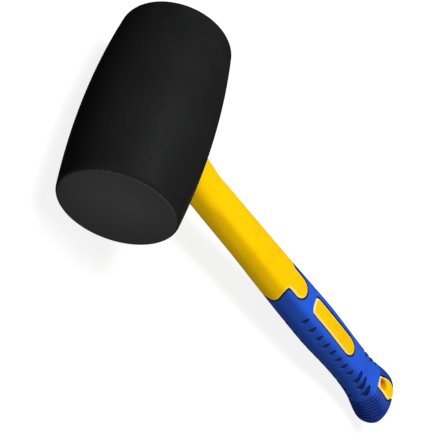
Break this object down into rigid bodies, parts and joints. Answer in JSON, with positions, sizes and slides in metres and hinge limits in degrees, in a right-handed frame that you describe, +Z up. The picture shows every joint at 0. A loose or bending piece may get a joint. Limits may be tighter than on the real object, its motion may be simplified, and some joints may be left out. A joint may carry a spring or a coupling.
{
  "type": "rubber mallet",
  "caption": "Mallet with a barrel-shaped rubber head on a moulded handle with a soft two-colour grip, finger slots, a ribbed butt and a hang hole.",
  "frame": {"origin": "bottom centre of the bounding box, on the surface the mallet lies on", "axes": "+X along the head from one striking face to the other, on the side the butt's hook points to; +Y along the handle from the head to the butt, as it lies; +Z up, out of one broad face of the grip. The handle falls 4 degrees from the barrel to the butt."},
  "size_m": [0.1134, 0.3408, 0.07],
  "materials": {
    "head_rubber": "moulded black rubber, fine satin skin with light scuffing",
    "yellow_plastic": "semi-gloss yellow polypropylene",
    "blue_soft_grip": "satin blue thermoplastic rubber",
    "glass_fibre": "pultruded glass-fibre rod",
    "epoxy": "cured amber epoxy"
  },
  "bodies": {
    "root": {"rubber_head": "head_rubber", "handle_jacket": "yellow_plastic", "grip_sleeve": "blue_soft_grip", "fiberglass_core": "glass_fibre", "epoxy_bond": "epoxy"}
  },
  "joints": []
}
